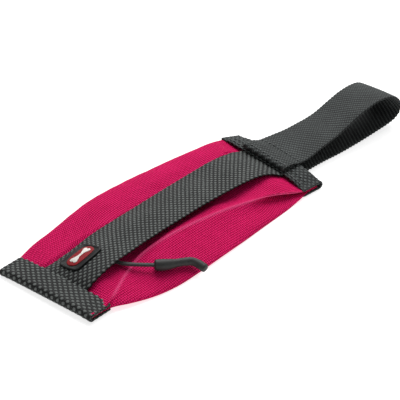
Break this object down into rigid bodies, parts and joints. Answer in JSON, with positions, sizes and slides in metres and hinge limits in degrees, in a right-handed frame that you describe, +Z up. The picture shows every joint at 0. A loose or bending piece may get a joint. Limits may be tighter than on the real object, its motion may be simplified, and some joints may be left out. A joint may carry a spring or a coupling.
{
  "type": "training bumper",
  "caption": "Flat zip-up training bumper: a soft woven treat pouch with webbing end bindings, a cover strap over the zip, a cord zip pull and a webbing hand loop.",
  "frame": {"origin": "on the underside below the middle of the pouch, midway between the two end bindings and on the strap's centreline", "axes": "+X along the pouch towards the hand loop, +Z up out of the zipped face, -Y the side where the zip pull comes out"},
  "size_m": [0.2868, 0.0888, 0.022],
  "materials": {
    "canvas": "plain woven polyester, crimson",
    "lining_film": "coated lining, deep red",
    "webbing": "heavy woven webbing, dark grey",
    "zip_tape": "knitted tape, black",
    "zip_teeth": "nylon filament, black",
    "zip_metal": "die-cast zinc, black enamel",
    "cord": "braided cord, black",
    "sleeve_rubber": "moulded soft PVC, black",
    "label_rubber": "moulded soft rubber, black",
    "badge_rubber": "moulded soft rubber, red",
    "thread": "bonded polyester thread, dark grey",
    "canvas_thread": "polyester thread, crimson"
  },
  "bodies": {
    "pouch": {"outer_cloth": "canvas", "lining": "lining_film", "near_binding": "webbing", "far_binding": "webbing", "cover_strap": "webbing", "loop_tab": "webbing", "loop_foot": "webbing", "zip_tape_left": "zip_tape", "zip_tape_right": "zip_tape", "zip_teeth_left": "zip_teeth", "zip_teeth_right": "zip_teeth", "zip_top_stops": "zip_metal", "zip_bottom_stop": "zip_metal", "label": "label_rubber", "label_badge": "badge_rubber", "near_binding_stitches": "thread", "far_binding_stitches": "thread", "loop_tab_stitches": "thread", "zip_stitches": "canvas_thread"},
    "slider": {"zip_slider": "zip_metal", "slider_bridge": "zip_metal"},
    "pull": {"pull_tab": "zip_metal", "pull_cord": "cord", "pull_sleeve": "sleeve_rubber"},
    "loop": {"hand_loop": "webbing"}
  },
  "joints": [
    {"name": "zip_travel", "type": "slide", "parent": "pouch", "child": "slider", "axis": [1, 0, 0], "range_m": [0, 0.1028]},
    {"name": "pull_swing", "type": "hinge", "parent": "slider", "child": "pull", "pos_m": [-0.0569, 0, 0.0098], "axis": [0, 0, -1], "range_deg": [0, 15]},
    {"name": "loop_fold", "type": "hinge", "parent": "pouch", "child": "loop", "pos_m": [0.0996, 0, 0.0108], "axis": [0, -1, 0], "range_deg": [0, 150]}
  ]
}
